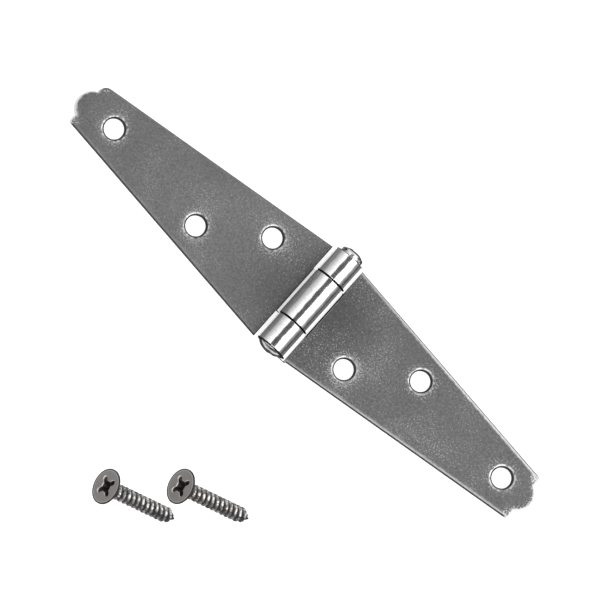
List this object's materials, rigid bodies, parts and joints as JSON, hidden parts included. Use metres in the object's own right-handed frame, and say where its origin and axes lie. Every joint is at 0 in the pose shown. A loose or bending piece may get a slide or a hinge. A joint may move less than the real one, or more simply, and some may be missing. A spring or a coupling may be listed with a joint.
{
  "type": "strap hinge",
  "caption": "Light strap hinge with two long tapered leaves, a rolled barrel and a fixed pin with headed ends, open and flat with two loose cross-recess screws beside it.",
  "frame": {"origin": "on the plane of the leaves' backs, right under the middle of the pin", "axes": "+X along the hinge towards the leaf with two knuckles, +Y along the pin towards its made head, +Z away from the surface the hinge is screwed to"},
  "size_m": [0.1525, 0.0916, 0.0184],
  "materials": {
    "zinc_sheet": "satin",
    "zinc_pin": "satin",
    "zinc_screw": "satin"
  },
  "bodies": {
    "two_knuckle_side": {"leaf_two_knuckles": "zinc_sheet", "hinge_pin": "zinc_pin"},
    "one_knuckle_side": {"leaf_one_knuckle": "zinc_sheet"},
    "loose_screw_1": {"screw_1": "zinc_screw"},
    "loose_screw_2": {"screw_2": "zinc_screw"}
  },
  "joints": [
    {"name": "leaf_fold", "type": "hinge", "parent": "two_knuckle_side", "child": "one_knuckle_side", "pos_m": [0, 0, 0.00437], "axis": [0, 1, 0], "range_deg": [-96, 183]},
    {"name": "screw_1_lift", "type": "slide", "parent": "two_knuckle_side", "child": "loose_screw_1", "axis": [-0.7678, -0.2855, 0.5736], "range_m": [0, 0.03]},
    {"name": "screw_2_lift", "type": "slide", "parent": "two_knuckle_side", "child": "loose_screw_2", "axis": [-0.7678, -0.2855, 0.5736], "range_m": [0, 0.03]}
  ]
}
